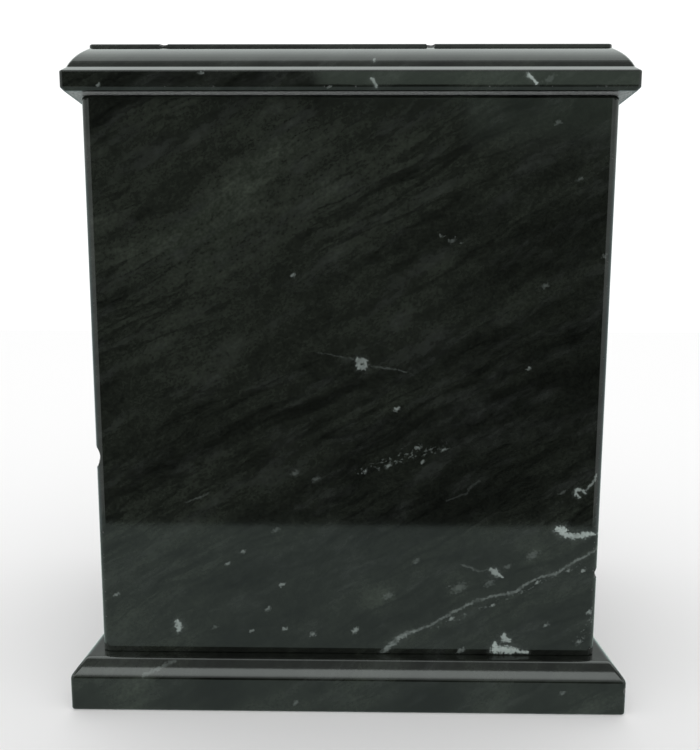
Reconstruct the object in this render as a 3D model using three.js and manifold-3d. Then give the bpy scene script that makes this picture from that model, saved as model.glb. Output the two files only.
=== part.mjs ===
// Cremation urn of polished black marble: a moulded base slab, a hollow rectangular body
// and a moulded lid that lifts off. Millimetres, +Z up. The origin is the middle of the
// underside, and the front faces -Y.

import * as THREE from "three";
import { mergeVertices } from "three/addons/utils/BufferGeometryUtils.js";
import Module from "manifold-3d";

const wasm = await Module();
wasm.setup();

// Body: a plain upright block round a straight ash chamber, open above and below
const BODY_WIDTH = 200;
const BODY_DEPTH = 150;
const BODY_HEIGHT = 217.2;
const BODY_ARRIS = 3.6; // rounding of the four upright arrises
const BODY_EASE = 1.3; // easing round the top
const BODY_FOOT_EASE = 0.4; // easing round the foot
const WALL = 20;

// Base: a slab whose narrow ledge runs round the body's foot, above a slightly swelling slope
const BASE_HEIGHT = 19.3;
const BASE_OVERHANG = 9.2;
const BASE_LEDGE = 4.3; // overhang where the ledge's line meets the slope's
const BASE_FASCIA = 13.4; // height where the fascia's line meets the slope's
const BASE_SWELL = 0.15; // how far the slope stands out from its chord
const BASE_KNEE_ROUND = 1; // rounding at the slope's foot
const BASE_BROW_ROUND = 1; // rounding at the slope's head
const BASE_EASE = 0.9;
const BASE_CORNER = 1.6;

// Lid: a slab with, from its top, a fillet set back from the body's face, a shallow ovolo,
// a narrow slope and a fascia. A plug under it drops into the chamber's mouth.
const LID_HEIGHT = 19;
const LID_OVERHANG = 5;
const LID_BEVEL = 1.1;
const LID_FASCIA = 6.7; // height of the fascia's upper edge
const LID_SLOPE = 1.75; // height of the slope above the fascia
const LID_OVOLO_FOOT = 3.3; // overhang at the ovolo's foot
const LID_OVOLO_TOP = 17.5; // height of the ovolo's upper end
const LID_OVOLO_BULGE = 0.75; // how far the ovolo stands out from its chord
const LID_SETBACK = 3.1; // the fillet's distance behind the body's face
const LID_EASE = 0.5;
const LID_CORNER = 1.4;
const PLUG_HEIGHT = 4;
const PLUG_CLEARANCE = 1.5;

const CURVE_STEPS = 10; // facets along each curved stretch
const SPARE = 10; // how far a cutting solid runs past what it cuts

const UNIT_X = new THREE.Vector3(1, 0, 0);
const UNIT_Y = new THREE.Vector3(0, 1, 0);
const UNIT_Z = new THREE.Vector3(0, 0, 1);

// A closed geometry as a solid that can be joined and cut
function toSolid(geometry) {
  const bare = geometry.clone();
  bare.deleteAttribute("normal");
  bare.deleteAttribute("uv");
  const merged = mergeVertices(bare.index ? bare.toNonIndexed() : bare, 1e-4);
  const vertProperties = new Float32Array(merged.attributes.position.array);
  const triVerts = new Uint32Array(merged.index.array);
  return new wasm.Manifold(new wasm.Mesh({ numProp: 3, vertProperties, triVerts }));
}

function toGeometry(solid) {
  const { numProp, vertProperties, triVerts } = solid.getMesh();
  const count = vertProperties.length / numProp;
  const position = new Float32Array(count * 3);
  for (let i = 0; i < count; i += 1) {
    position.set(vertProperties.subarray(i * numProp, i * numProp + 3), i * 3);
  }
  const geometry = new THREE.BufferGeometry();
  geometry.setAttribute("position", new THREE.BufferAttribute(position, 3));
  geometry.setIndex(new THREE.BufferAttribute(new Uint32Array(triVerts), 1));
  geometry.computeVertexNormals();
  return geometry;
}

// An outline pulled straight through the block, centred, along X, Y or Z
const PULL = {
  x: new THREE.Matrix4().makeBasis(UNIT_Y, UNIT_Z, UNIT_X),
  y: new THREE.Matrix4().makeBasis(UNIT_X, UNIT_Z, UNIT_Y.clone().negate()),
  z: new THREE.Matrix4(),
};

function pulled(outline, length, axis) {
  const options = { depth: length, bevelEnabled: false, curveSegments: CURVE_STEPS };
  const geometry = new THREE.ExtrudeGeometry(outline, options);
  geometry.translate(0, 0, -length / 2);
  return toSolid(geometry.applyMatrix4(PULL[axis]));
}

// Cross-section of a block: the edge's points, (projection, height), stand right and left
function section(edge, halfSpan) {
  const right = edge.map((point) => new THREE.Vector2(halfSpan + point.x, point.y));
  const left = edge.map((point) => new THREE.Vector2(-halfSpan - point.x, point.y));
  return new THREE.Shape([...right, ...left.reverse()]);
}

function roundedRectangle(width, depth, radius) {
  const x = width / 2;
  const y = depth / 2;
  const shape = new THREE.Shape();
  shape.moveTo(x, radius - y);
  shape.lineTo(x, y - radius);
  shape.absarc(x - radius, y - radius, radius, 0, Math.PI / 2);
  shape.lineTo(radius - x, y);
  shape.absarc(radius - x, y - radius, radius, Math.PI / 2, Math.PI);
  shape.lineTo(-x, radius - y);
  shape.absarc(radius - x, radius - y, radius, Math.PI, Math.PI * 1.5);
  shape.lineTo(x - radius, -y);
  shape.absarc(x - radius, radius - y, radius, Math.PI * 1.5, Math.PI * 2);
  return shape;
}

// One edge profile run round all four sides of a block, with its upright arrises rounded
function profiledBlock(edge, overhang, arris, height) {
  const width = BODY_WIDTH + 2 * overhang;
  const depth = BODY_DEPTH + 2 * overhang;
  const frontToBack = pulled(section(edge, BODY_WIDTH / 2), depth + SPARE, "y");
  const sideToSide = pulled(section(edge, BODY_DEPTH / 2), width + SPARE, "x");
  const plan = pulled(roundedRectangle(width, depth, arris), 2 * (height + SPARE), "z");
  return frontToBack.intersect(sideToSide).intersect(plan);
}

function straightBlock(width, depth, bottom, top) {
  const geometry = new THREE.BoxGeometry(width, depth, top - bottom);
  geometry.translate(0, 0, (bottom + top) / 2);
  return toSolid(geometry);
}

// A chip is a small faceted bite out of an arris
function chipped(solid, chips) {
  let result = solid;
  for (const { at, size } of chips) {
    const bite = new THREE.IcosahedronGeometry(1, 0);
    bite.scale(...size);
    bite.translate(...at);
    result = result.subtract(toSolid(bite));
  }
  return result;
}

// Control point of a curve that stands out from the chord between two points of an edge
function crown(foot, head, bulge) {
  const chord = head.clone().sub(foot);
  const outward = new THREE.Vector2(chord.y, -chord.x).normalize();
  return foot.clone().add(head).divideScalar(2).addScaledVector(outward, 2 * bulge);
}

function baseEdge() {
  const knee = new THREE.Vector2(BASE_OVERHANG, BASE_FASCIA);
  const brow = new THREE.Vector2(BASE_LEDGE, BASE_HEIGHT);
  const swell = crown(knee, brow, BASE_SWELL);
  const foot = swell.clone().sub(knee).setLength(BASE_KNEE_ROUND).add(knee);
  const head = swell.clone().sub(brow).setLength(BASE_BROW_ROUND).add(brow);
  const edge = new THREE.Path();
  edge.moveTo(BASE_OVERHANG - BASE_EASE, 0);
  edge.lineTo(BASE_OVERHANG, BASE_EASE);
  edge.lineTo(BASE_OVERHANG, BASE_FASCIA - BASE_KNEE_ROUND);
  edge.quadraticCurveTo(knee.x, knee.y, foot.x, foot.y);
  edge.quadraticCurveTo(swell.x, swell.y, head.x, head.y);
  edge.quadraticCurveTo(brow.x, brow.y, BASE_LEDGE - BASE_BROW_ROUND, BASE_HEIGHT);
  return edge.getPoints(CURVE_STEPS / 2);
}

function bodyEdge() {
  const edge = new THREE.Path();
  edge.moveTo(-BODY_FOOT_EASE, 0);
  edge.quadraticCurveTo(0, 0, 0, BODY_FOOT_EASE);
  edge.lineTo(0, BODY_HEIGHT - BODY_EASE);
  edge.quadraticCurveTo(0, BODY_HEIGHT, -BODY_EASE, BODY_HEIGHT);
  return edge.getPoints(CURVE_STEPS / 2);
}

function lidEdge() {
  const foot = new THREE.Vector2(LID_OVOLO_FOOT, LID_FASCIA + LID_SLOPE);
  const head = new THREE.Vector2(-LID_SETBACK, LID_OVOLO_TOP);
  const bulge = crown(foot, head, LID_OVOLO_BULGE);
  const edge = new THREE.Path();
  edge.moveTo(LID_OVERHANG - LID_BEVEL, 0);
  edge.lineTo(LID_OVERHANG, LID_BEVEL);
  edge.lineTo(LID_OVERHANG, LID_FASCIA);
  edge.lineTo(foot.x, foot.y);
  edge.quadraticCurveTo(bulge.x, bulge.y, head.x, head.y);
  edge.lineTo(head.x, LID_HEIGHT - LID_EASE);
  edge.quadraticCurveTo(head.x, LID_HEIGHT, head.x - LID_EASE, LID_HEIGHT);
  return edge.getPoints(CURVE_STEPS);
}

const CHAMBER_WIDTH = BODY_WIDTH - 2 * WALL;
const CHAMBER_DEPTH = BODY_DEPTH - 2 * WALL;
const FRONT = -BODY_DEPTH / 2;

// Chips on the arrises, each in its own piece's frame, with its half sizes
const BASE_CHIPS = [
  { at: [BODY_WIDTH / 2 + BASE_OVERHANG, FRONT - BASE_OVERHANG, 10.2], size: [1, 1, 1.6] },
];
const BODY_CHIPS = [
  { at: [-BODY_WIDTH / 2, FRONT + 2.5, 80.3], size: [3.9, 3.9, 4.8] },
  { at: [BODY_WIDTH / 2, FRONT + 2.2, 33.9], size: [3, 3, 2.3] },
];
const LID_CHIPS = [
  { at: [30, FRONT + LID_SETBACK, LID_HEIGHT], size: [1.8, 1.6, 1.9] },
  { at: [-69, FRONT + LID_SETBACK, LID_HEIGHT], size: [1.7, 1.1, 1] },
];

function makeBase() {
  const slab = profiledBlock(baseEdge(), BASE_OVERHANG, BASE_CORNER, BASE_HEIGHT);
  return toGeometry(chipped(slab, BASE_CHIPS));
}

function makeBody() {
  const block = profiledBlock(bodyEdge(), 0, BODY_ARRIS, BODY_HEIGHT);
  const chamber = straightBlock(CHAMBER_WIDTH, CHAMBER_DEPTH, -SPARE, BODY_HEIGHT + SPARE);
  return toGeometry(chipped(block.subtract(chamber), BODY_CHIPS));
}

function makeLid() {
  const slab = profiledBlock(lidEdge(), LID_OVERHANG, LID_CORNER, LID_HEIGHT);
  const plugWidth = CHAMBER_WIDTH - 2 * PLUG_CLEARANCE;
  const plugDepth = CHAMBER_DEPTH - 2 * PLUG_CLEARANCE;
  const plug = straightBlock(plugWidth, plugDepth, -PLUG_HEIGHT, LID_HEIGHT / 2);
  return toGeometry(chipped(slab.add(plug), LID_CHIPS));
}

function marble(color, roughness) {
  return new THREE.MeshStandardMaterial({ color, roughness, metalness: 0 });
}

function piece(name, geometry, material, height) {
  const mesh = new THREE.Mesh(geometry, material);
  mesh.name = name;
  mesh.position.z = height;
  return mesh;
}

const urn = new THREE.Group();
urn.add(piece("base", makeBase(), marble(0x2e3331, 0.18), 0));
urn.add(piece("body", makeBody(), marble(0x1c201d, 0.12), BASE_HEIGHT));
urn.add(piece("lid", makeLid(), marble(0x262b28, 0.15), BASE_HEIGHT + BODY_HEIGHT));

export default urn;
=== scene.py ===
# Black marble cremation urn: base slab, hollow body and lift-off lid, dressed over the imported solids.
# Sizes in the dictionaries are millimetres unless a note says otherwise; the scene itself is in metres.
import math
import bpy
from mathutils import Euler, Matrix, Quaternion, Vector


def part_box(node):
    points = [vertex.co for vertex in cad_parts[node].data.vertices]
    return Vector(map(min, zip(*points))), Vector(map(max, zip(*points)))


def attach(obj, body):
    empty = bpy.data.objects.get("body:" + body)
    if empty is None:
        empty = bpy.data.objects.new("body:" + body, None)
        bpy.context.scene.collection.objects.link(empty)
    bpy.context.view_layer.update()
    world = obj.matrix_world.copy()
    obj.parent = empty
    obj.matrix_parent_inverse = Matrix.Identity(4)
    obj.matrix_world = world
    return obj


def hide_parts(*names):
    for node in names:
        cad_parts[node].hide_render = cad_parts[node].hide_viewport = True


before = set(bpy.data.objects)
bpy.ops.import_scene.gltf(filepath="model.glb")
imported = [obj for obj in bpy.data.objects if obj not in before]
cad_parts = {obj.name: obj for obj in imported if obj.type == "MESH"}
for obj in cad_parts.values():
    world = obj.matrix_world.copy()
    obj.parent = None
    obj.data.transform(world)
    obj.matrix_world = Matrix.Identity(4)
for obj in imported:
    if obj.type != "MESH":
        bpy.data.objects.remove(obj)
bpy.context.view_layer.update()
mm = 0.001
bodyLow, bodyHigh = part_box("body")
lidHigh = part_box("lid")[1]
halfWidth = bodyHigh.x / mm
halfDepth = bodyHigh.y / mm
frontFace = -halfDepth
baseTop = bodyLow.z / mm
bodyTop = bodyHigh.z / mm
lidTop = lidHigh.z / mm
lidOverhang = 5.0
baseOverhang = 9.2
print("frame loaded:", ", ".join(sorted(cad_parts)))


# Node desk: adds nodes to one tree and wires them. A value is a plain number, a tuple or a socket.
class nodeDesk:
    def __init__(self, tree):
        self.tree = tree

    def feed(self, socket, value):
        if isinstance(value, bpy.types.NodeSocket):
            self.tree.links.new(value, socket)
        else:
            socket.default_value = value

    def add(self, kind, feeds=None, **settings):
        node = self.tree.nodes.new(kind)
        for name, value in settings.items():
            setattr(node, name, value)
        for name, value in (feeds or {}).items():
            self.feed(node.inputs[name], value)
        return node

    def calc(self, operation, *values, clamp=False):
        node = self.add("ShaderNodeMath", dict(enumerate(values)), operation=operation, use_clamp=clamp)
        return node.outputs[0]

    def vector(self, operation, *values):
        slots = (0, 3) if operation == "SCALE" else (0, 1, 2)
        node = self.add("ShaderNodeVectorMath", dict(zip(slots, values)), operation=operation)
        plain = operation in ("DOT_PRODUCT", "LENGTH", "DISTANCE")
        return node.outputs["Value" if plain else "Vector"]

    def smooth(self, value, low, high, start=0.0, end=1.0):
        feeds = {"Value": value, "From Min": low, "From Max": high, "To Min": start, "To Max": end}
        return self.add("ShaderNodeMapRange", feeds, interpolation_type="SMOOTHSTEP").outputs[0]

    def blend(self, share, first, second):
        return self.add("ShaderNodeMix", {0: share, 2: first, 3: second}, data_type="FLOAT").outputs[0]

    def tint(self, share, first, second):
        return self.add("ShaderNodeMix", {0: share, 6: first, 7: second}, data_type="RGBA").outputs[2]

    def noise(self, place, scale, detail=3.0, rough=0.5, channel=0):
        feeds = {"Vector": place, "Scale": scale, "Detail": detail, "Roughness": rough}
        return self.add("ShaderNodeTexNoise", feeds).outputs[channel]

    def combine(self, x, y, z):
        return self.add("ShaderNodeCombineXYZ", {0: x, 1: y, 2: z}).outputs[0]

    def attribute(self, name, kind="FLOAT"):
        return self.add("GeometryNodeInputNamedAttribute", {"Name": name}, data_type=kind).outputs[0]


def geometryTree(name, inputs):
    tree = bpy.data.node_groups.new(name, "GeometryNodeTree")
    tree.interface.new_socket("Geometry", in_out="INPUT", socket_type="NodeSocketGeometry")
    for label, kind in inputs.items():
        tree.interface.new_socket(label, in_out="INPUT", socket_type="NodeSocket" + kind)
    tree.interface.new_socket("Geometry", in_out="OUTPUT", socket_type="NodeSocketGeometry")
    desk = nodeDesk(tree)
    given = desk.add("NodeGroupInput").outputs
    result = desk.add("NodeGroupOutput").inputs["Geometry"]
    return tree, desk, given, result


polished, honed, dull = 0, 1, -1  # finishes of a profile's points; the last one paints the shade of the joint under the lid
finishSlack = 0.01  # a face is honed or painted joint shade only where all its points are
weldGap = 0.004


# Runs an edge profile round the four sides of a block. A profile point holds its projection from the
# body's face in X, the plan's corner radius there in Y and its height in Z, and it has a finish.
def makeRunTree():
    tree, desk, given, result = geometryTree("runRoundBlock", {
        "Profile": "Object", "Half Width": "Float", "Half Depth": "Float",
        "Corner Steps": "Int", "Side Cuts": "Int",
        "Polished": "Material", "Honed": "Material", "Dull": "Material"})
    profile = desk.add("GeometryNodeObjectInfo", {"Object": given["Profile"]}).outputs["Geometry"]
    rows = desk.add("GeometryNodeAttributeDomainSize", {"Geometry": profile}).outputs["Point Count"]
    quarter = desk.calc("ADD", given["Corner Steps"], given["Side Cuts"])
    columns = desk.calc("MULTIPLY_ADD", quarter, 4.0, 1.0)
    grid = desk.add("GeometryNodeMeshGrid", {"Vertices X": columns, "Vertices Y": rows}).outputs["Mesh"]
    # where a grid point lies: its column goes round the plan, its row along the profile. The added half
    # keeps the rounding down clear of a whole number
    index = desk.add("GeometryNodeInputIndex").outputs[0]
    column = desk.calc("FLOOR", desk.calc("DIVIDE", desk.calc("ADD", index, 0.5), rows))
    row = desk.calc("SUBTRACT", index, desk.calc("MULTIPLY", column, rows))
    turn = desk.calc("FLOOR", desk.calc("DIVIDE", desk.calc("ADD", column, 0.5), quarter))
    step = desk.calc("SUBTRACT", column, desk.calc("MULTIPLY", turn, quarter))
    arcShare = desk.calc("DIVIDE", step, given["Corner Steps"], clamp=True)
    runStep = desk.calc("SUBTRACT", step, given["Corner Steps"])
    runShare = desk.calc("DIVIDE", runStep, given["Side Cuts"], clamp=True)
    eased = runShare
    for again in range(2):  # cuts crowd towards the corners, so that the flats stay flat up to them
        swing = desk.calc("COSINE", desk.calc("MULTIPLY", eased, math.pi))
        eased = desk.calc("MULTIPLY_ADD", swing, -0.5, 0.5)

    def plane(angle, length):
        return desk.combine(desk.calc("MULTIPLY", desk.calc("COSINE", angle), length),
                            desk.calc("MULTIPLY", desk.calc("SINE", angle), length), 0.0)

    quarterTurn = math.pi / 2
    facing = plane(desk.calc("MULTIPLY", desk.calc("ADD", turn, arcShare), quarterTurn), 1.0)
    cornerAngle = desk.calc("MULTIPLY_ADD", turn, quarterTurn, quarterTurn / 2)
    thisCorner = plane(cornerAngle, math.sqrt(2))
    nextCorner = plane(desk.calc("ADD", cornerAngle, quarterTurn), math.sqrt(2))
    feeds = {0: eased, 4: thisCorner, 5: nextCorner}
    along = desk.add("ShaderNodeMix", feeds, data_type="VECTOR").outputs[1]

    def sampled(value, kind):
        feeds = {"Geometry": profile, "Index": row}
        node = desk.add("GeometryNodeSampleIndex", feeds, data_type=kind, domain="POINT")
        desk.feed(node.inputs["Value"], value)
        return node.outputs[0]

    position = desk.add("GeometryNodeInputPosition").outputs[0]
    point = desk.add("ShaderNodeSeparateXYZ", {0: sampled(position, "FLOAT_VECTOR")}).outputs
    reach = desk.calc("SUBTRACT", point["X"], point["Y"])
    halfX = desk.calc("ADD", given["Half Width"], reach)
    halfY = desk.calc("ADD", given["Half Depth"], reach)
    straight = desk.vector("MULTIPLY", along, desk.combine(halfX, halfY, 0.0))
    flat = desk.vector("ADD", straight, desk.vector("SCALE", facing, point["Y"]))
    place = desk.vector("ADD", flat, desk.combine(0.0, 0.0, point["Z"]))
    marked = desk.add("GeometryNodeStoreNamedAttribute", {"Geometry": grid, "Name": "finish"},
                      data_type="FLOAT", domain="POINT")
    desk.feed(marked.inputs["Value"], sampled(desk.attribute("finish"), "FLOAT"))
    feeds = {"Geometry": marked.outputs[0], "Position": place}
    shaped = desk.add("GeometryNodeSetPosition", feeds).outputs[0]
    feeds = {"Geometry": shaped, "Distance": weldGap * mm}
    closed = desk.add("GeometryNodeMergeByDistance", feeds).outputs[0]
    whole = desk.add("GeometryNodeRealizeInstances", {"Geometry": closed}).outputs[0]
    feeds = {"Geometry": whole, "Material": given["Polished"]}
    dressed = desk.add("GeometryNodeSetMaterial", feeds).outputs[0]
    # faces of the painted joint shade get their own nearly mirrorless material
    for label, test, limit in (("Honed", "GREATER_THAN", honed - finishSlack),
                               ("Dull", "LESS_THAN", dull + finishSlack)):
        chosen = desk.calc(test, desk.attribute("finish"), limit)
        feeds = {"Geometry": dressed, "Selection": chosen, "Material": given[label]}
        dressed = desk.add("GeometryNodeSetMaterial", feeds).outputs[0]
    desk.feed(result, dressed)
    return tree


biteLook = {  # grain and depth are those of the broken stone's rough face
    "large": {"levels": 4, "grain": 1.6, "depth": 1.0},
    "small": {"levels": 2, "grain": 0.5, "depth": 0.35},
    "mostTurn": (6.28, 6.28, 6.28),
}
noTurn = (0.0, 0.0, 0.0)
middleGrey = (0.5, 0.5, 0.5)  # a noise colour that moves nothing


# Bites chips out of a block: large ones at given points, small nicks scattered along its arris lines
def makeChipTree():
    tree, desk, given, result = geometryTree("chipArrises", {
        "Chips": "Object", "Arrises": "Object", "Spacing": "Float", "Share": "Float",
        "Smallest": "Float", "Largest": "Float", "Seed": "Int", "Broken": "Material"})

    def rough(geometry, grain, depth):
        place = desk.add("GeometryNodeInputPosition").outputs[0]
        wave = desk.noise(place, 1.0 / grain, detail=2.0, channel=1)
        shift = desk.vector("SCALE", desk.vector("SUBTRACT", wave, middleGrey), depth)
        return desk.add("GeometryNodeSetPosition", {"Geometry": geometry, "Offset": shift}).outputs[0]

    def bitesAt(points, look, scale, turn, chosen=True):
        ball = desk.add("GeometryNodeMeshIcoSphere", {"Radius": 1.0, "Subdivisions": look["levels"]})
        feeds = {"Points": points, "Instance": ball.outputs["Mesh"], "Rotation": turn, "Scale": scale,
                 "Selection": chosen}
        placed = desk.add("GeometryNodeInstanceOnPoints", feeds).outputs[0]
        balls = desk.add("GeometryNodeRealizeInstances", {"Geometry": placed}).outputs[0]
        return rough(balls, look["grain"] * mm, look["depth"] * mm)

    def drawn(kind, output, seed, feeds):
        return desk.add("FunctionNodeRandomValue", {**feeds, "Seed": seed}, data_type=kind).outputs[output]

    chips = desk.add("GeometryNodeObjectInfo", {"Object": given["Chips"]}).outputs["Geometry"]
    large = bitesAt(chips, biteLook["large"], desk.attribute("reach", "FLOAT_VECTOR"), noTurn)
    lines = desk.add("GeometryNodeObjectInfo", {"Object": given["Arrises"]}).outputs["Geometry"]
    curves = desk.add("GeometryNodeMeshToCurve", {"Mesh": lines}).outputs[0]
    feeds = {"Curve": curves, "Length": given["Spacing"]}
    spaced = desk.add("GeometryNodeResampleCurve", feeds, mode="LENGTH").outputs[0]
    nextSeed = desk.calc("ADD", given["Seed"], 1.0)
    chosen = drawn("BOOLEAN", 3, nextSeed, {"Probability": given["Share"]})
    size = drawn("FLOAT", 1, given["Seed"], {2: given["Smallest"], 3: given["Largest"]})
    turn = drawn("FLOAT_VECTOR", 0, nextSeed, {0: noTurn, 1: biteLook["mostTurn"]})
    small = bitesAt(spaced, biteLook["small"], size, turn, chosen)
    bites = desk.add("GeometryNodeJoinGeometry")
    for part in (large, small):
        desk.tree.links.new(part, bites.inputs[0])
    named = desk.add("GeometryNodeStoreNamedAttribute", {"Geometry": bites.outputs[0], "Name": "broken"},
                     data_type="FLOAT", domain="FACE")
    desk.feed(named.inputs["Value"], 1.0)
    feeds = {"Mesh 1": given["Geometry"], "Self Intersection": True}
    cut = desk.add("GeometryNodeMeshBoolean", feeds, operation="DIFFERENCE", solver="EXACT")
    desk.tree.links.new(named.outputs[0], cut.inputs["Mesh 2"])
    whole = desk.add("GeometryNodeRealizeInstances", {"Geometry": cut.outputs[0]}).outputs[0]
    isBroken = desk.calc("GREATER_THAN", desk.attribute("broken"), 0.5)
    feeds = {"Geometry": whole, "Selection": isBroken, "Material": given["Broken"]}
    desk.feed(result, desk.add("GeometryNodeSetMaterial", feeds).outputs[0])
    return tree


runTree = makeRunTree()
chipTree = makeChipTree()
print("geometry trees ready:", runTree.name, chipTree.name)


# Profile drawing. A corner is (projection, height, easing, plan corner, finish).
easeSteps = 6
guard = 0.4  # a flat stretch gets a point at most this far from each end, so that its shading stays flat
guardParts = 6  # and never further than this part of the stretch
shortFlat = 0.8
sharpAngle = math.radians(32)


def bow(start, bend, end, steps):
    points = []
    for i in range(steps + 1):
        t = i / steps
        first, middle, last = (1 - t) ** 2, 2 * t * (1 - t), t ** 2
        points.append(tuple(first * a + middle * b + last * c for a, b, c in zip(start, bend, end)))
    return points


def towards(start, end, distance):
    span = math.dist(start, end)
    return tuple(a + (b - a) * distance / span for a, b in zip(start, end))


def crown(foot, head, bulge):  # bend of a curve that stands out from its chord
    span = math.dist(foot, head)
    run, rise = head[0] - foot[0], head[1] - foot[1]
    middle = [(a + b) / 2 for a, b in zip(foot, head)]
    return middle[0] + 2 * bulge * rise / span, middle[1] - 2 * bulge * run / span


def easedProfile(corners):
    eased = []
    for i, (p, z, ease, corner, finish) in enumerate(corners):
        here = (p, z)
        outline = [here]
        if ease:
            before = towards(here, corners[i - 1][:2], ease)
            after = towards(here, corners[i + 1][:2], ease)
            outline = bow(before, here, after, easeSteps)
        eased += [(*point, corner, finish) for point in outline]
    guarded = [eased[0]]
    for last, this in zip(eased, eased[1:]):
        span = math.dist(last[:2], this[:2])
        if span > shortFlat:
            inset = min(guard, span / guardParts)
            guarded.append((*towards(last[:2], this[:2], inset), *last[2:]))
            guarded.append((*towards(this[:2], last[:2], inset), *this[2:]))
        guarded.append(this)
    return guarded


def helperObject(name, points, edges=(), **values):
    mesh = bpy.data.meshes.new(name)
    mesh.from_pydata([[c * mm for c in point] for point in points], edges, [])
    for label, rows in values.items():
        kind = "FLOAT_VECTOR" if isinstance(rows[0], tuple) else "FLOAT"
        layer = mesh.attributes.new(label, kind, "POINT")
        for item, row in zip(layer.data, rows):
            if kind == "FLOAT":
                item.value = row
            else:
                item.vector = row
    helper = bpy.data.objects.new(name, mesh)
    bpy.context.scene.collection.objects.link(helper)
    return helper


def useTree(worker, tree, values):
    modifier = worker.modifiers.new(tree.name, "NODES")
    modifier.node_group = tree
    for item in tree.interface.items_tree:
        if item.in_out == "INPUT" and item.name in values:
            modifier[item.identifier] = values[item.name]


# Makes one stone piece: profile run round the block, chips bitten out, result kept as a plain mesh
def carve(name, corners, lift, look, stones):
    profile = easedProfile(corners)
    profilePoints = [(p, corner, z + lift) for p, z, corner, finish in profile]
    profileSteps = [(i, i + 1) for i in range(len(profile) - 1)]
    finishes = [row[3] for row in profile]
    profileLine = helperObject(name + "Profile", profilePoints, profileSteps, finish=finishes)
    chips = look["chips"]
    chipPoints = helperObject(name + "Chips", [chip["at"] for chip in chips],
                              reach=[tuple(c * mm for c in chip["size"]) for chip in chips])
    arrisPoints = [point for line in look["arrises"] for point in line]
    arrisSteps = [(i, i + 1) for i in range(0, len(arrisPoints), 2)]
    arrisPath = helperObject(name + "Arrises", arrisPoints, arrisSteps)
    worker = helperObject(name + "Work", [(0, 0, 0)])
    useTree(worker, runTree, {
        "Profile": profileLine, "Half Width": halfWidth * mm, "Half Depth": halfDepth * mm,
        "Corner Steps": look["cornerSteps"], "Side Cuts": look["sideCuts"],
        "Polished": stones["polished"], "Honed": stones["honed"], "Dull": stones["dull"]})
    smallest, largest = look["nickSizes"]
    useTree(worker, chipTree, {
        "Chips": chipPoints, "Arrises": arrisPath, "Spacing": look["nickSpacing"] * mm,
        "Share": look["nickShare"], "Smallest": smallest * mm, "Largest": largest * mm,
        "Seed": look["seed"], "Broken": stones["broken"]})
    depsgraph = bpy.context.evaluated_depsgraph_get()
    mesh = bpy.data.meshes.new_from_object(worker.evaluated_get(depsgraph))
    mesh.name = name
    for label in ("finish", "broken"):
        if label in mesh.attributes:
            mesh.attributes.remove(mesh.attributes[label])
    mesh.shade_smooth()
    mesh.set_sharp_from_angle(angle=sharpAngle)
    piece = bpy.data.objects.new(name, mesh)
    bpy.context.scene.collection.objects.link(piece)
    for helper in (worker, profileLine, chipPoints, arrisPath):
        helperMesh = helper.data
        bpy.data.objects.remove(helper)
        bpy.data.meshes.remove(helperMesh)
    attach(piece, "root")
    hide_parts(name.split("Stone")[0])
    print(name, "carved:", len(mesh.polygons), "faces")


# Marble: near-black and greenish, in slanting beds, with dark wisps, pale haze and white calcite.
# Colours are linear. A pattern's size runs along the beds, across the slope and through the beds, and a
# shift moves it off the others. A pair that ends in Range or Edge is where a smooth step starts and ends.
marbleLook = {
    "bedTurn": tuple(math.radians(angle) for angle in (8, -33, 24)),
    "bedWave": (60.0, 12.0),  # wavelength and reach of the beds' swing
    "frayWave": (7.0, 1.6),
    "stone": (0.0079, 0.0096, 0.0074),
    "layers": [  # each one lightens and darkens the stone between its two factors
        {"size": (130, 95, 60), "detail": 1.0, "rough": 0.5, "factors": (0.84, 1.18)},
        {"size": (80, 42, 13), "detail": 3.0, "rough": 0.50, "factors": (0.66, 1.36)},
        {"size": (24, 12, 5.0), "detail": 4.0, "rough": 0.62, "factors": (0.84, 1.18)},
    ],
    "grains": [  # the same, but not swung with the beds
        {"size": (5.0, 4.8, 4.0), "detail": 3.0, "rough": 0.65, "factors": (0.82, 1.20)},
        {"size": (1.4, 1.15, 0.95), "detail": 2.0, "rough": 0.6, "factors": (0.76, 1.26)},
    ],
    "layerShift": 31.0,
    "layerRange": (0.3, 0.7),
    "zoneEdge": (0.2, 1.1),  # shares of a zone's reach
    "wisps": [
        {"size": (120, 48, 11), "detail": 2.5, "shift": 12, "width": 0.045, "patch": 60, "strength": 0.42},
        {"size": (52, 22, 6.0), "detail": 3.0, "shift": 49, "width": 0.050, "patch": 44, "strength": 0.34},
    ],
    "wispRange": (0.42, 0.6),
    "haze": (0.062, 0.070, 0.066, 1.0),
    "hazePatch": {"size": (32, 17, 8), "detail": 4.0, "shift": 70.0, "range": (0.48, 0.72)},
    "hazeFleck": {"size": (3.4, 2.6, 1.9), "detail": 2.0, "shift": 11.0, "range": (0.3, 0.75)},
    "hazeRough": 0.6,
    "hazeShares": (0.088, 0.22),  # between its flecks and in them
    "calcite": (0.335, 0.385, 0.365, 1.0),
    "raggedWave": (3.6, 1.7),
    "raggedCrumb": (1.1, 0.75),
    "crumble": (0.95, 3.0),  # grain of the calcite's edges, and how far it eats into them
    "calciteRough": 0.6,
    "veinEdge": (0.4, 1.25),  # shares of a vein's half width
    "patchSize": 2.4,
    "wearRange": (0.3, 0.6),
    "halo": 0.05,
    "haloEdge": (0.9, 3.0),
    "crumbSize": (1.35, 1.05, 0.85),
    "crumbLevels": (0.86, 0.54),  # noise that makes a crumb, outside the fields and in them
    "crumbEdge": (0.0, 0.15),
    "crumbStrength": 0.16,
    "fieldEdge": (0.2, 1.2),
    "clusterSize": 27.0,
    "clusterRange": (0.56, 0.76),
    "clusterShare": 0.4,
    "speckStretch": (1.5, 1.1, 0.8),
    "speckEdge": (0.2, 1.3),
    "grainPerMm": 1.1,  # noise of the bump and of the dust
}


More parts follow.
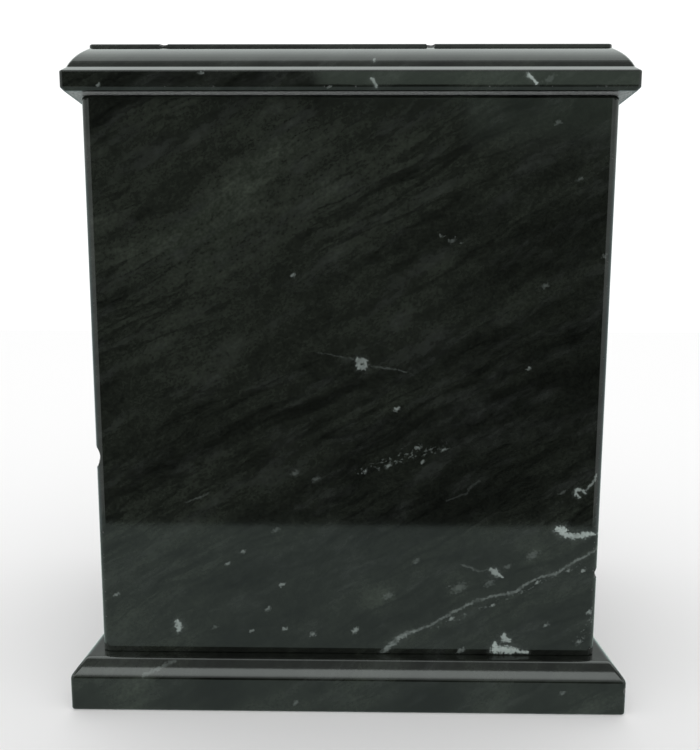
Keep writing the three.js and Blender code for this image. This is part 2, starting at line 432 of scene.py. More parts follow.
def stirred(desk, place, size, reach):
    wave = desk.vector("SUBTRACT", desk.noise(place, 1 / size, channel=1), middleGrey)
    return desk.vector("ADD", place, desk.vector("SCALE", wave, reach))


def inBed(desk, place, size, shift=0.0):
    moved = desk.vector("ADD", place, (shift, shift, -shift))
    feeds = {"Vector": moved, "Rotation": marbleLook["bedTurn"], "Scale": size}
    return desk.add("ShaderNodeMapping", feeds, vector_type="TEXTURE").outputs[0]


# The stone's own colour: layers of light and dark, broad zones, dark wisps, pale haze
def stoneGround(desk, place, look, zones):
    swung = stirred(desk, place, *look["bedWave"])
    frayed = stirred(desk, swung, *look["frayWave"])
    shade = 1.0
    layers = [(frayed, layer) for layer in look["layers"]] + [(place, layer) for layer in look["grains"]]
    for i, (spot, layer) in enumerate(layers):
        bedded = inBed(desk, spot, layer["size"], look["layerShift"] * i)
        wave = desk.noise(bedded, 1.0, layer["detail"], layer["rough"])
        shade = desk.calc("MULTIPLY", shade, desk.smooth(wave, *look["layerRange"], *layer["factors"]))
    for zone in zones:
        near = desk.calc("DIVIDE", desk.vector("DISTANCE", swung, zone["at"]), zone["reach"])
        shade = desk.calc("MULTIPLY", shade, desk.smooth(near, *look["zoneEdge"], zone["gain"], 1.0))
    for wisp in look["wisps"]:
        wave = desk.noise(inBed(desk, frayed, wisp["size"], wisp["shift"]), 1.0, wisp["detail"])
        off = desk.calc("ABSOLUTE", desk.calc("SUBTRACT", wave, 0.5))
        patches = desk.noise(swung, 1 / wisp["patch"], 1.0)
        where = desk.smooth(patches, *look["wispRange"], 0.0, wisp["strength"])
        dark = desk.calc("MULTIPLY", desk.smooth(off, 0.0, wisp["width"], 1.0, 0.0), where)
        shade = desk.calc("MULTIPLY", shade, desk.calc("SUBTRACT", 1.0, dark))

    def hazeStep(spot, part, *shares):
        bedded = inBed(desk, spot, part["size"], part["shift"])
        wave = desk.noise(bedded, 1.0, part["detail"], look["hazeRough"])
        return desk.smooth(wave, *part["range"], *shares)

    gathered = hazeStep(frayed, look["hazePatch"])
    flecks = hazeStep(place, look["hazeFleck"], *look["hazeShares"])
    haze = desk.calc("MULTIPLY", gathered, flecks)
    return desk.tint(haze, desk.vector("SCALE", look["stone"], shade), look["haze"])


# Distance to a tapering run of capsules, in shares of its half width there
def nearRoute(desk, place, route):
    least = None
    for start, end in zip(route, route[1:]):
        run = Vector(end[:3]) - Vector(start[:3])
        offset = desk.vector("SUBTRACT", place, start[:3])
        share = desk.vector("DOT_PRODUCT", offset, tuple(run / run.length_squared))
        share = desk.add("ShaderNodeClamp", {"Value": share}).outputs[0]
        away = desk.vector("DISTANCE", offset, desk.vector("SCALE", tuple(run), share))
        near = desk.calc("DIVIDE", away, desk.blend(share, start[3], end[3]))
        least = near if least is None else desk.calc("MINIMUM", least, near)
    return least


# White calcite: veins and patches on routes, crumbs strewn in fields and clusters, single specks
def calciteMask(desk, place, look, marks):
    ragged = stirred(desk, stirred(desk, place, *look["raggedWave"]), *look["raggedCrumb"])
    patchy = desk.noise(place, 1 / look["patchSize"], 3.0, look["calciteRough"])
    grain, bite = look["crumble"]
    edgeWave = desk.noise(place, 1 / grain, 2.0, look["calciteRough"])
    crumble = desk.calc("MULTIPLY_ADD", edgeWave, bite, -bite / 2)
    mask = 0.0
    for vein in marks["veins"]:
        near = desk.calc("ADD", nearRoute(desk, ragged, vein["route"]), crumble)
        solid = desk.smooth(near, *look["veinEdge"], vein["strength"], 0.0)
        worn = desk.smooth(patchy, *look["wearRange"], 1.0 - vein["broken"], 1.0)
        halo = desk.smooth(near, *look["haloEdge"], look["halo"] * vein["strength"], 0.0)
        mask = desk.calc("MAXIMUM", mask, desk.calc("MULTIPLY_ADD", solid, worn, halo))
    clusters = desk.noise(place, 1 / look["clusterSize"], 2.0)
    gather = desk.smooth(clusters, *look["clusterRange"], 0.0, look["clusterShare"])
    for route in marks["crumbs"]:
        field = desk.smooth(nearRoute(desk, ragged, route), *look["fieldEdge"], 1.0, 0.0)
        gather = desk.calc("MAXIMUM", gather, field)
    crumbWave = desk.noise(inBed(desk, place, look["crumbSize"]), 1.0, 2.5, 0.55)
    over = desk.calc("SUBTRACT", crumbWave, desk.blend(gather, *look["crumbLevels"]))
    crumbs = desk.smooth(over, *look["crumbEdge"], 0.0, look["crumbStrength"])
    mask = desk.calc("MAXIMUM", mask, crumbs)
    stretch = look["speckStretch"]
    flat = inBed(desk, ragged, stretch)
    toBed = Euler(look["bedTurn"]).to_matrix().inverted()
    for specks in marks["specks"]:
        for x, y, z, size in specks["places"]:
            spot = tuple(a / b for a, b in zip(toBed @ Vector((x, y, z)), stretch))
            away = desk.calc("DIVIDE", desk.vector("DISTANCE", flat, spot), size)
            near = desk.calc("ADD", away, crumble)
            speck = desk.smooth(near, *look["speckEdge"], specks["strength"], 0.0)
            mask = desk.calc("MAXIMUM", mask, speck)
    return mask


def makeMarble(name, look, marks):
    tree = bpy.data.node_groups.new(name, "ShaderNodeTree")
    for label, kind in (("Colour", "Color"), ("Calcite", "Float"), ("Grain", "Float")):
        tree.interface.new_socket(label, in_out="OUTPUT", socket_type="NodeSocket" + kind)
    desk = nodeDesk(tree)
    result = desk.add("NodeGroupOutput").inputs
    place = desk.vector("SCALE", desk.add("ShaderNodeTexCoord").outputs["Object"], 1 / mm)
    calcite = calciteMask(desk, place, look, marks)
    ground = stoneGround(desk, place, look, marks["zones"])
    desk.feed(result["Colour"], desk.tint(calcite, ground, look["calcite"]))
    desk.feed(result["Calcite"], calcite)
    desk.feed(result["Grain"], desk.noise(place, look["grainPerMm"], 2.0))
    return tree


# Finishes of one stone: polished outside, honed where it is bedded or hidden, nearly mirrorless as painted
# shade on the eased edge at the lid joint, raw where it is chipped. A finish with a lighten share is dusted
# with raw stone, more on some grains than on others.
finishLook = {
    "polished": {"roughness": 0.07, "calciteRoughness": 0.10, "lighten": 0.0, "bump": 0.012, "level": 0.45},
    "honed": {"roughness": 0.46, "calciteRoughness": 0.10, "lighten": 0.72, "bump": 0.10, "level": 0.38},
    # painted shade of the joint under the lid: the stone's colour with almost no mirroring, so the eased
    # edge reads black
    "dull": {"roughness": 0.60, "calciteRoughness": 0.05, "lighten": 0.0, "bump": 0.05, "level": 0.05},
    "broken": {"roughness": 0.70, "calciteRoughness": 0.05, "lighten": 0.24, "bump": 0.45, "level": 0.32},
}
rawStone = (0.34, 0.355, 0.35, 1.0)
dustRange = (0.2, 0.8)
leastDust, mostDust = 0.6, 1.4
bumpDepth = 0.3
stoneIor = 1.5


def makeFinishes(name, marble):
    stones = {}
    for finish, look in finishLook.items():
        stone = bpy.data.materials.new(name + finish.capitalize())
        stone.use_nodes = True
        desk = nodeDesk(stone.node_tree)
        shader = stone.node_tree.nodes["Principled BSDF"]
        group = desk.add("ShaderNodeGroup", node_tree=marble).outputs
        colour = group["Colour"]
        if look["lighten"]:
            shares = (leastDust * look["lighten"], mostDust * look["lighten"])
            colour = desk.tint(desk.smooth(group["Grain"], *dustRange, *shares), colour, rawStone)
        desk.feed(shader.inputs["Base Color"], colour)
        roughness = desk.calc("MULTIPLY_ADD", group["Calcite"], look["calciteRoughness"], look["roughness"])
        desk.feed(shader.inputs["Roughness"], roughness)
        shader.inputs["Specular IOR Level"].default_value = look["level"]
        shader.inputs["IOR"].default_value = stoneIor
        feeds = {"Height": group["Grain"], "Strength": look["bump"], "Distance": bumpDepth * mm}
        desk.feed(shader.inputs["Normal"], desk.add("ShaderNodeBump", feeds).outputs[0])
        stones[finish] = stone
    return stones


# Places on the faces, as (along the face, height, half width)
def onFront(*rows):
    return [(x, frontFace, z, size) for x, z, size in rows]


def onBack(*rows):
    return [(x, halfDepth, z, size) for x, z, size in rows]


def onRight(*rows):
    return [(halfWidth, y, z, size) for y, z, size in rows]


def onLeft(*rows):
    return [(-halfWidth, y, z, size) for y, z, size in rows]


bodyMarks = {
    "zones": [
        {"at": (-58, frontFace, 192), "reach": 85, "gain": 1.75},
        {"at": (-70, frontFace, 45), "reach": 55, "gain": 1.25},
        {"at": (80, frontFace, 120), "reach": 65, "gain": 0.78},
        {"at": (25, frontFace, 80), "reach": 45, "gain": 0.85},
        {"at": (-10, frontFace, 236), "reach": 70, "gain": 1.35},
        {"at": (12.8, frontFace, 42), "reach": 10, "gain": 2.0},
        {"at": (44.4, frontFace, 48.6), "reach": 9, "gain": 2.0},
        {"at": (74.2, frontFace, 61.2), "reach": 9, "gain": 2.0},
        {"at": (83.3, frontFace, 31.3), "reach": 9, "gain": 0.6},
    ],
    "veins": [
        # foot vein: broad and bright at the foot, thin and grey as it climbs to the right arris
        {"strength": 0.36, "broken": 0.75, "route": onFront(
            (14.0, 20.0, 0.9), (17.5, 23.0, 1.0), (21.1, 26.5, 1.15), (24.3, 28.2, 1.05),
            (27.5, 29.1, 0.6))},
        {"strength": 0.24, "broken": 0.75, "route": onFront(
            (27.5, 29.1, 0.6), (33.5, 31.9, 0.6), (39.5, 35.5, 0.6), (46.2, 39.4, 0.65),
            (50.1, 41.5, 0.7), (57.3, 43.9, 0.65), (64.4, 45.2, 0.65), (67.6, 46.1, 0.55),
            (71.8, 49.8, 0.65), (73.8, 50.7, 0.5), (76.9, 52.2, 0.5), (82.8, 53.5, 0.75),
            (84.7, 55.1, 0.6), (90.5, 59.1, 0.5), (98.6, 63.5, 0.5))
            + onRight((-66, 67, 0.7), (-45, 78, 1.0), (-22, 88, 0.5))},
        # patch by the right arris, with its head
        {"strength": 0.85, "broken": 0.25, "route": onFront((82.8, 72.2, 1.2), (84.7, 71.3, 1.9))},
        {"strength": 0.75, "broken": 0.35, "route": onFront(
            (85.2, 70.2, 1.2), (86.8, 69.4, 1.0), (89.7, 69.2, 1.35), (93.5, 69.8, 1.3), (96.2, 70.0, 0.8),
            (99, 69.6, 0.5)) + onRight((-69, 71, 0.8), (-58, 73, 0.4))},
        # hook near the right arris, and its tail
        {"strength": 0.54, "broken": 0.3, "route": onFront(
            (90.7, 85.0, 0.5), (89.1, 86.2, 0.65), (89.3, 87.6, 0.7), (90.6, 88.0, 0.6), (92.0, 87.3, 0.55),
            (93.2, 86.4, 0.4))},
        {"strength": 0.36, "broken": 0.6, "route": onFront(
            (93.4, 87.7, 0.4), (94.6, 89.3, 0.55), (95.8, 90.3, 0.4), (96.4, 92.0, 0.55),
            (97.2, 94.0, 0.35))},
        # square star and its hairline
        {"strength": 0.44, "broken": 0.35, "route": onFront(
            (3.7, 138.6, 0.95), (6.2, 138.0, 1.0), (6.3, 135.8, 1.05), (4.0, 135.9, 1.0),
            (3.8, 137.8, 0.9))},
        {"strength": 0.08, "broken": 0.85, "route": onFront(
            (-12.9, 141.5, 0.2), (-5, 140.2, 0.3), (1.3, 139.1, 0.45), (4, 137.5, 0.4),
            (9.0, 136.4, 0.35), (14.4, 135.7, 0.4), (25.6, 132.8, 0.2))},
        # wedge and the thread that leads to it
        {"strength": 0.52, "broken": 0.3, "route": onFront(
            (57.1, 55.3, 0.8), (58.4, 54.2, 1.35), (59.9, 53.0, 0.9), (61.8, 52.2, 0.35))},
        {"strength": 0.11, "broken": 0.85, "route": onFront(
            (44.6, 56.9, 0.3), (46.8, 56.5, 0.5), (49.0, 55.8, 0.6), (51.8, 54.4, 0.4),
            (56.2, 54.9, 0.35))},
        # bright patch at the foot, in two lobes
        {"strength": 0.72, "broken": 0.3, "route": onFront(
            (62.7, 27.8, 0.8), (63.0, 26.2, 1.5), (65.2, 25.6, 0.8))},
        {"strength": 1.0, "broken": 0.2, "route": onFront(
            (59.4, 23.8, 0.9), (59.7, 21.4, 1.7), (63.0, 21.4, 1.7), (66.3, 21.4, 1.5),
            (68.8, 20.8, 0.9), (72.8, 20.6, 0.6))},
        # drop at the lower left
        {"strength": 0.66, "broken": 0.2, "route": onFront(
            (-68.7, 32.0, 1.0), (-68.1, 30.3, 1.6), (-68.4, 28.6, 0.9))},
        # faint bent thread, and dashes at the lower left
        {"strength": 0.045, "broken": 0.6, "route": onFront(
            (38.8, 83, 0.4), (46.5, 86.2, 0.5), (48.5, 89.2, 0.5), (51.6, 91.2, 0.35))},
        {"strength": 0.09, "broken": 0.7, "route": onFront(
            (-64, 82, 0.3), (-61, 83, 0.4), (-55, 85.4, 0.3))},
        # plainer veins on the back and the left
        {"strength": 0.26, "broken": 0.6, "route": onBack(
            (72, 62, 0.5), (46, 71, 0.8), (18, 86, 1.0), (-8, 92, 0.7), (-40, 108, 0.5))},
        {"strength": 0.60, "broken": 0.35, "route": onBack(
            (-52, 176, 0.8), (-56, 179, 1.6), (-61, 180, 0.6))},
        {"strength": 0.24, "broken": 0.6, "route": onLeft(
            (52, 152, 0.5), (30, 141, 0.9), (4, 128, 0.7), (-34, 119, 0.4))},
    ],
    "crumbs": [
        onFront((4, 94.5, 3.0), (20, 100, 5.4), (38, 105, 3.0)),
        onFront((92, 24, 3.5), (97.5, 33, 3.0), (98, 42, 2.0)),
        onFront((33, 30, 1.6), (58, 40.5, 1.8), (93, 58, 1.6)),
        onFront((34, 186, 2.2), (45, 183, 2.6)),
        onFront((40, 48, 2.4), (47, 47, 3.0)),
        onBack((30, 150, 3.0), (8, 161, 3.6)),
        onRight((-10, 120, 2.6), (14, 131, 3.4)),
        onLeft((20, 70, 2.6), (-8, 60, 3.2)),
    ],
    "specks": [
        {"strength": 0.44, "places": onFront(
            (41.9, 34.7, 0.8), (58.2, 40.3, 0.8), (75.8, 49.7, 0.7), (93.4, 54.8, 1.0),
            (97, 37.7, 1.1), (-26.4, 48, 1.0), (3, 29, 1.2), (-25.3, 29.5, 0.9),
            (18.8, 119.4, 1.0))},
        {"strength": 0.30, "places": onFront(
            (-41.8, 61.8, 0.9), (-47.9, 56.7, 0.8), (-31.7, 38, 0.9), (87.5, 55.2, 0.7),
            (-38.7, 28.6, 0.8), (-14.2, 27.2, 1.2), (45.8, 20.9, 1.2), (79.8, 32, 0.9),
            (6.8, 94.9, 0.9), (27.2, 104.4, 1.0), (15.6, 96.9, 1.0), (28.9, 98.6, 0.8),
            (37.2, 103.6, 0.9), (93.1, 25, 1.0), (-21, 170.7, 0.9), (69.3, 135.7, 0.8),
            (-93, 43.5, 0.9))},
        {"strength": 0.12, "places": onFront(
            (73.4, 61.2, 1.9), (44.4, 47.3, 2.2), (16.1, 43.7, 1.6), (27.1, 58.4, 1.2),
            (63.7, 56.5, 1.3), (56.7, 49.7, 1.7), (-20.6, 94, 1.3), (-12.6, 91.4, 1.1),
            (-28.5, 70.5, 1.1), (-53.6, 30.2, 1.0), (84.3, 87, 1.0), (38.8, 183.5, 1.0),
            (74.6, 167, 0.9), (77, 226.5, 1.0), (85.7, 206.3, 0.9), (96.3, 178, 1.0))},
    ],
}
lidFront = frontFace - lidOverhang
lidMarks = {
    "zones": [],
    "veins": [
        # two dashes on the fascia, and one higher on the ovolo
        {"strength": 0.5, "broken": 0.5, "route": [
            (8.1, lidFront, 240.4, 0.55), (9.0, lidFront, 238.6, 0.6), (10.2, lidFront, 236.2, 0.5)]},
        {"strength": 0.75, "broken": 0.4, "route": [
            (64.3, lidFront, 241.4, 0.75), (65.8, lidFront, 239.9, 0.6), (67.4, lidFront, 238.4, 0.55)]},
        {"strength": 0.36, "broken": 0.5, "route": [
            (9.1, frontFace - 1.6, 248.2, 0.55), (9.0, frontFace - 2.3, 246.9, 0.5)]},
        # plainer vein over the top
        {"strength": 0.3, "broken": 0.6, "route": [
            (-60, 20, lidTop, 0.5), (-20, 4, lidTop, 0.9), (8, -2, lidTop, 0.7), (52, -26, lidTop, 0.5)]},
    ],
    "crumbs": [
        [(30, 30, lidTop, 3.0), (52, 22, lidTop, 3.6)],
    ],
    "specks": [
        {"strength": 0.30, "places": [
            (-53, lidFront, 242.4, 0.8), (-7.2, lidFront, 237.2, 0.7), (-90.6, lidFront, 238, 0.8)]},
        {"strength": 0.08, "places": [(72, lidFront, 240, 1.6)]},
    ],
}
baseFront = frontFace - baseOverhang
baseMarks = {
    "zones": [
        {"at": (-86, baseFront, 4), "reach": 16, "gain": 2.0},
        {"at": (-52, baseFront, 10), "reach": 13, "gain": 0.4},
        {"at": (-28, baseFront, 3), "reach": 16, "gain": 2.1},
        {"at": (2, baseFront, 9), "reach": 14, "gain": 1.7},
        {"at": (32, baseFront, 6), "reach": 15, "gain": 0.4},
        {"at": (58, baseFront, 9), "reach": 14, "gain": 2.0},
        {"at": (92, baseFront, 5), "reach": 14, "gain": 1.8},
    ],
    "veins": [
        {"strength": 0.15, "broken": 0.5, "route": [
            (-80.4, baseFront + 0.7, 14.2, 0.8), (-75, baseFront + 2.3, 16.2, 1.0),
            (-68.8, baseFront + 4.1, 18.3, 0.6)]},
    ],
    "crumbs": [],
    "specks": [
        {"strength": 0.2, "places": [(84, baseFront, 9, 0.9), (-20, baseFront, 4, 0.9)]},
    ],
}
bodyStones = makeFinishes("bodyMarble", makeMarble("bodyMarbleStone", marbleLook, bodyMarks))
lidStones = makeFinishes("lidMarble", makeMarble("lidMarbleStone", marbleLook, lidMarks))
baseStones = makeFinishes("baseMarble", makeMarble("baseMarbleStone", marbleLook, baseMarks))
print("marble ready:", len(bpy.data.materials), "materials")


# Body: a hollow block with eased arrises, open above and below
bodyLook = {
    "slot": "body_marble",
    "height": bodyTop - baseTop,
    "wall": 20.0,
    "arris": 3.6,
    "innerCorner": 0.6,
    "ease": 1.3,  # round the top
    "footEase": 0.4,
    "cornerSteps": 8,
    "sideCuts": 12,
    "nickSpacing": 1.3,
    "nickShare": 0.20,
    "nickSizes": (0.14, 0.42),
    "nickAngle": 20,  # where the nicks lie on the arrises, in degrees from the front and the back
    "nickInset": 3.0,
    "seed": 11,
    "chips": [
        {"at": (-99.9, -72.5, 99.6), "size": (3.5, 3.5, 4.4)},
        {"at": (100.0, -72.8, 53.2), "size": (2.7, 2.7, 2.1)},
    ],
}


def arrisLines(look):
    # upright lines on the rounded arrises, near where the rounding leaves the front and the back
    turn = math.radians(look["nickAngle"])
    x = halfWidth - look["arris"] * (1 - math.sin(turn))
    y = halfDepth - look["arris"] * (1 - math.cos(turn))
    low, high = baseTop + look["nickInset"], bodyTop - look["nickInset"]
    return [[(i * x, j * y, low), (i * x, j * y, high)] for i in (-1, 1) for j in (-1, 1)]


bodyLook["arrises"] = arrisLines(bodyLook)


def bodyCorners(look):
    high, wall, arris, inner = look["height"], look["wall"], look["arris"], look["innerCorner"]
    ease, footEase = look["ease"], look["footEase"]
    middle = (-wall / 2, 0, 0, arris / 2, honed)  # the profile starts and ends under the wall
    return [
        middle,
        (-2 * footEase, 0, 0, arris, honed),
        (0, 0, footEase, arris, polished),
        (0, high - 1.1 * ease, 0, arris, polished),  # the polish stops just under the easing
        # the eased top edge is painted shade: its finish barely mirrors, so it reads as the dark joint
        # under the lid
        (0, high, ease, arris, dull),
        (-2 * ease, high, 0, arris, honed),
        (-wall, high, ease / 2, inner, honed),
        (-wall, 0, ease / 2, inner, honed),
        middle,
    ]


carve("bodyStone", bodyCorners(bodyLook), baseTop, bodyLook, bodyStones)


# Base: a slab with a slightly swelling slope that leaves a narrow ledge round the body
baseLook = {
    "slot": "base_marble",
    "height": baseTop,
    "overhang": baseOverhang,
    "ledge": 4.3,  # overhang where the ledge's line meets the slope's
    "fascia": 13.4,  # height where the fascia's line meets the slope's
    "swell": 0.15,
    "kneeRound": 1.0,
    "browRound": 1.0,
    "ease": 0.9,
    "corner": 1.6,
    "cornerSteps": 6,
    "sideCuts": 12,
    "nickSpacing": 1.6,
    "nickShare": 0.08,
    "nickSizes": (0.12, 0.35),
    "nickInset": 0.2,
    "nickHeight": 0.3,
    "seed": 23,
    "chips": [
        {"at": (109.2, -84.2, 10.2), "size": (1.4, 1.4, 1.9)},
    ],
}
curveSteps = 12


def ringLines(projection, height):
    # the four straight sides of a ring at one height
    x, y = halfWidth + projection, halfDepth + projection
    ring = [(x, y, height), (-x, y, height), (-x, -y, height), (x, -y, height)]
    return [list(pair) for pair in zip(ring, ring[1:] + ring[:1])]


def baseCorners(look):
    out, corner, high, ease = look["overhang"], look["corner"], look["height"], look["ease"]
    kneeRound, browRound = look["kneeRound"], look["browRound"]
    knee, brow = (out, look["fascia"]), (look["ledge"], high)
    swell = crown(knee, brow, look["swell"])
    foot, head = towards(knee, swell, kneeRound), towards(brow, swell, browRound)
    curve = bow((out, look["fascia"] - kneeRound), knee, foot, curveSteps)
    curve += bow(foot, swell, head, curveSteps)[1:]
    curve += bow(head, brow, (look["ledge"] - browRound, high), curveSteps)[1:]
    return [
        (-halfDepth, 0, 0, 0, honed),
        (out - 3 * ease, 0, 0, corner, honed),
        (out, 0, ease, corner, polished),
        *[(p, z, 0, corner, polished) for p, z in curve],
        (-halfDepth, high, 0, 0, polished),
    ]


baseLook["arrises"] = ringLines(baseLook["overhang"] - baseLook["nickInset"], baseLook["nickHeight"])
carve("baseStone", baseCorners(baseLook), 0.0, baseLook, baseStones)


# Lid: a bevelled fascia, a narrow slope, an ovolo and a fillet, over a plug
lidLook = {
    "slot": "lid_marble",
    "height": lidTop - bodyTop,
    "plug": 4.0,
    "plugClearance": 1.5,
    "overhang": lidOverhang,
    "bevel": 1.1,
    "fascia": 6.7,
    "slope": 1.75,  # height of the slope above the fascia
    "ovoloFoot": 3.3,
    "ovoloTop": 17.5,
    "ovoloBulge": 0.75,
    "setback": 3.1,
    "ease": 0.5,
    "creaseEase": 0.3,
    "corner": 1.4,
    "cornerSteps": 6,
    "sideCuts": 12,
    "nickSpacing": 1.6,
    "nickShare": 0.10,
    "nickSizes": (0.12, 0.38),
    "footNickInset": 0.1,
    "topNickInset": 0.3,
    "seed": 37,
    "chips": [
        {"at": (30.0, -71.9, 255.5), "size": (1.8, 1.6, 1.9)},
        {"at": (-69.0, -71.9, 255.5), "size": (1.7, 1.1, 1.0)},
    ],
}


def lidCorners(look):
    out, corner, fascia, back = look["overhang"], look["corner"], look["fascia"], look["setback"]
    plug, bevel, high = look["plug"], look["bevel"], look["height"]
    ease, crease = look["ease"], look["creaseEase"]
    plugSide = -(bodyLook["wall"] + look["plugClearance"])
    foot, head = (look["ovoloFoot"], fascia + look["slope"]), (-back, look["ovoloTop"])
    curve = bow(foot, crown(foot, head, look["ovoloBulge"]), head, curveSteps)[1:-1]
    return [
        (-halfDepth, -plug, 0, 0, honed),
        (plugSide, -plug, ease, ease, honed),
        (plugSide, 0, crease, ease, honed),
        (out - 2 * bevel, 0, 0, corner, honed),
        (out - bevel, 0, crease, corner, polished),
        (out, bevel, crease, corner, polished),
        (out, fascia, crease, corner, polished),
        (*foot, crease / 2, corner, polished),
        *[(p, z, 0, corner, polished) for p, z in curve],
        (*head, 0, corner, polished),
        (-back, high, ease, corner, polished),
        (-halfDepth, high, 0, 0, polished),
    ]


footNicks = ringLines(lidLook["overhang"] - lidLook["footNickInset"], bodyTop + lidLook["bevel"])
topNicks = ringLines(-lidLook["setback"] - lidLook["topNickInset"], lidTop - lidLook["topNickInset"])
lidLook["arrises"] = footNicks + topNicks
carve("lidStone", lidCorners(lidLook), bodyTop, lidLook, lidStones)


# Stage: a pale floor that the eye sees, and a table top that only the polish mirrors
stageLook = {
    "floorReach": 4000.0,
    "floorDrop": 0.02,
    "floorPaint": (0.86, 0.86, 0.86, 1.0),
    "tableReach": 202.0,  # from the body's faces to the table's edge
    "tableDrop": 0.04,
    "tableGlow": 0.62,
    "tableTint": (0.82, 1.0, 0.93, 1.0),
    "studioWhite": 1.15,
}


def flatSheet(name, x, y, height):
    mesh = bpy.data.meshes.new(name)
    ring = [(-x, -y, height), (x, -y, height), (x, y, height), (-x, y, height)]
    mesh.from_pydata([[c * mm for c in point] for point in ring], [], [(0, 1, 2, 3)])
    sheet = bpy.data.objects.new(name, mesh)
    bpy.context.scene.collection.objects.link(sheet)
    return sheet


def plainMaterial(name, kind, feeds):
    material = bpy.data.materials.new(name)
    material.use_nodes = True
    material.node_tree.nodes.clear()
    desk = nodeDesk(material.node_tree)
    shader = desk.add(kind, feeds)
    desk.feed(desk.add("ShaderNodeOutputMaterial").inputs["Surface"], shader.outputs[0])
    return material


floor = flatSheet("floor", stageLook["floorReach"], stageLook["floorReach"], -stageLook["floorDrop"])
paleFloor = plainMaterial("paleFloor", "ShaderNodeBsdfDiffuse", {"Color": stageLook["floorPaint"]})
floor.data.materials.append(paleFloor)
floor.visible_glossy = False
tableX, tableY = halfWidth + stageLook["tableReach"], halfDepth + stageLook["tableReach"]
table = flatSheet("tableTop", tableX, tableY, -stageLook["tableDrop"])
tableGlow = plainMaterial("tableGlow", "ShaderNodeEmission", {
    "Color": stageLook["tableTint"], "Strength": stageLook["tableGlow"]})
table.data.materials.append(tableGlow)
for rays in ("camera", "diffuse", "shadow", "transmission", "volume_scatter"):
    setattr(table, "visible_" + rays, False)

# Surround for the polish only: a dim wall in front between glowing corners and sides, a frieze that glows
# like the sides, a bright band in front, a dim ceiling over that and an open sky, with one soft panel in
# front on the right. A foot, step or top is an elevation in degrees and its softness as a slope. A spread
# is sideways over ahead, and a turn is where a change starts and ends between the front (-1) and back (1).
surroundLook = {
    "sideWeight": 0.5,  # share of the sideways distance that counts against a height
    "wallGlow": 0.03,
    "wallTop": (21.7, 0.012),
    "wallSpread": (0.50, 0.58),  # from the wall to its corners
    "cornerGlow": 1.0,
    "cornerSpread": (1.8, 2.7),  # from the corners to the sides
    "sideGlow": 0.85,
    "sideTint": (0.84, 1.0, 0.99, 1.0),
    "bandGlow": 3.6,
    "bandFoot": (38.0, 0.1),
    "bandTop": (48.0, 0.03),
    "bandTurn": (-0.2, 0.2),
    "ceilingGlow": 0.50,
    "ceilingTop": (75.0, 0.8),
    "ceilingTurn": (0.0, 0.1),
    "skyGlow": (2.1, 2.9),  # in front and behind
    "skyTurn": (-0.3, 0.25),
    "skyTint": (0.93, 1.0, 0.97, 1.0),
    "panelGlow": (0.36, 0.95),  # below and above the step
    "panelTint": (0.80, 1.0, 0.84, 1.0),
    "panelFoot": (14.5, 0.03),
    "panelStep": (18.5, 0.008),  # above it the panel reaches further left
    "panelTop": (21.5, 0.01),
    "panelLeft": (0.169, -0.065),  # spread of its left edge, below and above the step
    "panelSoft": 0.01,
}
white = (1.0, 1.0, 1.0, 1.0)
leastAhead = 0.0001  # keeps the divisions clear of nought


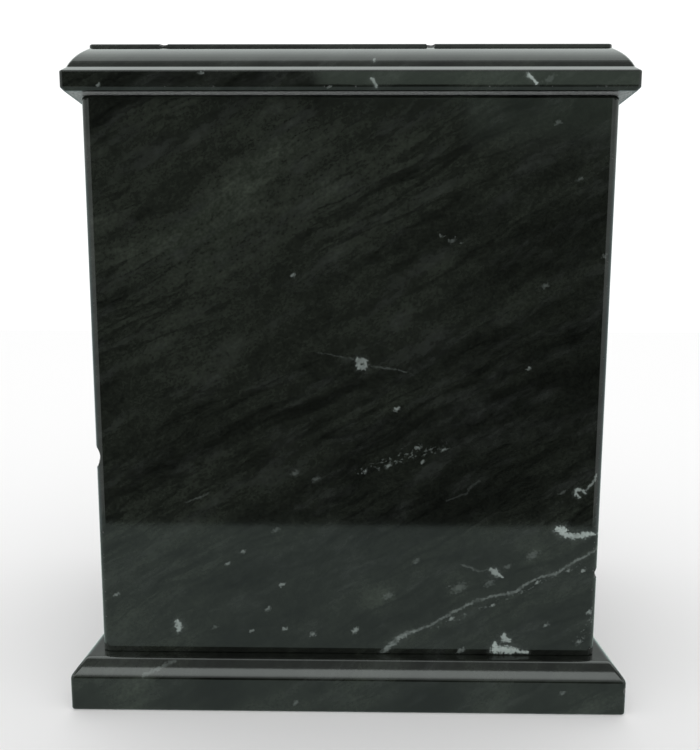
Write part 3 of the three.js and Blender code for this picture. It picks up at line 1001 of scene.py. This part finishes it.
def makeSurround(look):
    world = bpy.data.worlds.new("studio")
    bpy.context.scene.world = world
    world.use_nodes = True
    world.node_tree.nodes.clear()
    desk = nodeDesk(world.node_tree)
    toward = desk.add("ShaderNodeTexCoord").outputs["Generated"]
    x, y, z = desk.add("ShaderNodeSeparateXYZ", {0: toward}).outputs
    sideways = desk.calc("MULTIPLY", desk.calc("ABSOLUTE", x), look["sideWeight"])
    outward = desk.calc("MAXIMUM", sideways, desk.calc("ABSOLUTE", y))
    rise = desk.calc("DIVIDE", z, desk.calc("MAXIMUM", outward, leastAhead))
    ahead = desk.calc("MULTIPLY", y, -1.0)
    aside = desk.calc("DIVIDE", x, desk.calc("MAXIMUM", ahead, leastAhead))
    spread = desk.calc("ABSOLUTE", aside)

    def above(edge):
        angle, soft = edge
        slope = math.tan(math.radians(angle))
        return desk.smooth(rise, slope - soft, slope + soft)

    corner = desk.smooth(spread, *look["wallSpread"])
    side = desk.smooth(spread, *look["cornerSpread"])
    low = desk.blend(side, desk.blend(corner, look["wallGlow"], look["cornerGlow"]), look["sideGlow"])
    sky = desk.smooth(y, *look["skyTurn"], *look["skyGlow"])
    openSky = desk.calc("MAXIMUM", above(look["ceilingTop"]), desk.smooth(y, *look["ceilingTurn"]))
    high = desk.blend(openSky, look["ceilingGlow"], sky)
    band = desk.smooth(y, *look["bandTurn"], look["bandGlow"], look["sideGlow"])
    over = desk.blend(above(look["bandTop"]), band, high)
    over = desk.blend(above(look["bandFoot"]), look["sideGlow"], over)
    aloft = above(look["wallTop"])
    glow = desk.blend(aloft, low, over)
    step = above(look["panelStep"])
    inside = desk.calc("SUBTRACT", aside, desk.blend(step, *look["panelLeft"]))
    rightOf = desk.smooth(inside, -look["panelSoft"], look["panelSoft"])
    under = desk.calc("SUBTRACT", 1.0, above(look["panelTop"]))
    tall = desk.calc("MULTIPLY", above(look["panelFoot"]), under)
    wide = desk.calc("MULTIPLY", rightOf, desk.calc("SUBTRACT", 1.0, corner))
    panel = desk.calc("MULTIPLY", tall, wide)
    glow = desk.blend(panel, glow, desk.blend(step, *look["panelGlow"]))
    lowTint = desk.tint(side, look["skyTint"], look["sideTint"])
    tint = desk.tint(panel, desk.tint(aloft, lowTint, look["skyTint"]), look["panelTint"])
    seen = desk.add("ShaderNodeBackground", {"Color": white, "Strength": stageLook["studioWhite"]})
    mirrored = desk.add("ShaderNodeBackground", {"Color": tint, "Strength": glow})
    polishRay = desk.add("ShaderNodeLightPath").outputs["Is Glossy Ray"]
    mixed = desk.add("ShaderNodeMixShader", {0: polishRay, 1: seen.outputs[0], 2: mirrored.outputs[0]})
    desk.feed(desk.add("ShaderNodeOutputWorld").inputs["Surface"], mixed.outputs[0])


makeSurround(surroundLook)
bpy.context.scene.view_settings.view_transform = "Standard"
print("stage ready")

# Camera: close in front of the urn, a little above its middle and looking slightly down
cameraLook = {
    "lens": 29.66,
    "sensor": 36.0,
    "nearest": 10.0,
    "place": (3.2, -311.8, 158.3),
    "yaw": -0.62,  # angles in degrees
    "tilt": 6.16,
    "roll": 0.20,
}


def makeCamera(look):
    lens = bpy.data.cameras.new("viewer")
    lens.lens = look["lens"]
    lens.sensor_width = look["sensor"]
    lens.clip_start = look["nearest"] * mm
    viewer = bpy.data.objects.new("viewer", lens)
    bpy.context.scene.collection.objects.link(viewer)
    yaw, tilt, roll = (math.radians(look[name]) for name in ("yaw", "tilt", "roll"))
    ahead = Vector((math.sin(yaw) * math.cos(tilt), math.cos(yaw) * math.cos(tilt), -math.sin(tilt)))
    viewer.rotation_mode = "QUATERNION"
    viewer.rotation_quaternion = ahead.to_track_quat("-Z", "Y") @ Quaternion((0, 0, 1), roll)
    viewer.location = [c * mm for c in look["place"]]
    bpy.context.scene.camera = viewer


makeCamera(cameraLook)
print("camera ready")
